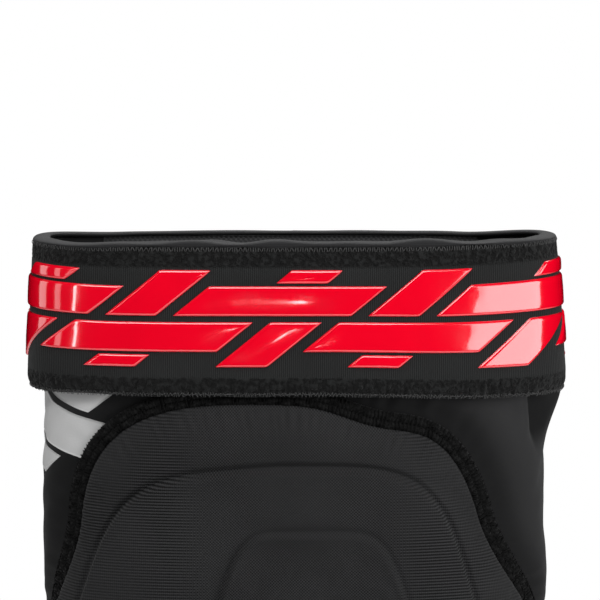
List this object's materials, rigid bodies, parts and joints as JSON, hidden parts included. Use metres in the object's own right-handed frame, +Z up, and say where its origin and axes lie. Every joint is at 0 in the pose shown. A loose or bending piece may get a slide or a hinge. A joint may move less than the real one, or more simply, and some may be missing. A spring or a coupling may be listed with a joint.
{
  "type": "padded knee and shin guard sleeve",
  "caption": "Pull-on knit guard sleeve with padded knee and shin, flexing ribbed gusset, and a wide elastic cuff turned down with raised silicone grip bars.",
  "frame": {"origin": "centre of the ankle hem's ring on the surface the guard stands on, midway between the knee pad's front and the calf", "axes": "+Z up the leg, -Y to the front of the leg, +X to the wearer's outer side"},
  "size_m": [0.1817, 0.0908, 0.4615],
  "materials": {
    "sleeve_knit": "matte",
    "mesh_knit": "matte",
    "ribbed_cover": "matte",
    "rib_knit": "matte",
    "woven_elastic": "matte",
    "seam_thread": "matte",
    "foam": "matte",
    "moulded_plate": "matte",
    "silicone": "glossy",
    "reflective_print": "satin"
  },
  "bodies": {
    "shin": {"ankle_band": "woven_elastic", "ankle_grip_ring": "silicone", "ankle_hem_binding": "sleeve_knit", "ankle_overlock": "seam_thread", "gusset_lower_seam": "seam_thread", "knee_gusset": "rib_knit", "shin_back_panel": "mesh_knit", "shin_cover": "ribbed_cover", "shin_cover_seam": "seam_thread", "shin_foam": "foam", "shin_front_panel": "sleeve_knit", "shin_inner_seam": "seam_thread", "shin_outer_seam": "seam_thread", "shin_plate": "moulded_plate"},
    "thigh": {"cuff_band": "woven_elastic", "cuff_bottom_overlock": "seam_thread", "cuff_join_seam": "seam_thread", "cuff_rim_binding": "sleeve_knit", "cuff_top_overlock": "seam_thread", "grip_lower_dash_2": "silicone", "grip_lower_dash_3": "silicone", "grip_lower_dash_4": "silicone", "grip_lower_dash_5": "silicone", "grip_lower_long_2": "silicone", "grip_lower_long_3": "silicone", "grip_lower_long_4": "silicone", "grip_lower_long_5": "silicone", "grip_lower_slash_2": "silicone", "grip_lower_slash_3": "silicone", "grip_lower_slash_4": "silicone", "grip_lower_slash_5": "silicone", "grip_upper_dash_1": "silicone", "grip_upper_dash_2": "silicone", "grip_upper_dash_3": "silicone", "grip_upper_dash_4": "silicone", "grip_upper_dash_5": "silicone", "grip_upper_long_2": "silicone", "grip_upper_long_3": "silicone", "grip_upper_long_4": "silicone", "grip_upper_slash_2": "silicone", "grip_upper_slash_3": "silicone", "grip_upper_slash_4": "silicone", "grip_upper_slash_5": "silicone", "gusset_upper_seam": "seam_thread", "knee_base_foam": "foam", "knee_cap_insert": "moulded_plate", "knee_cover": "ribbed_cover", "knee_cover_seam": "seam_thread", "knee_middle_foam": "foam", "side_print_1": "reflective_print", "side_print_2": "reflective_print", "side_print_3": "reflective_print", "side_print_4": "reflective_print", "upper_back_panel": "mesh_knit", "upper_front_panel": "sleeve_knit", "upper_inner_seam": "seam_thread", "upper_outer_seam": "seam_thread"}
  },
  "joints": [
    {"name": "knee_flex", "type": "hinge", "parent": "shin", "child": "thigh", "pos_m": [0, 0.0169, 0.228], "axis": [-1, 0, 0], "range_deg": [0, 75], "stiffness_Nm_per_rad": 0.8, "deforming": ["knee_gusset"]}
  ]
}
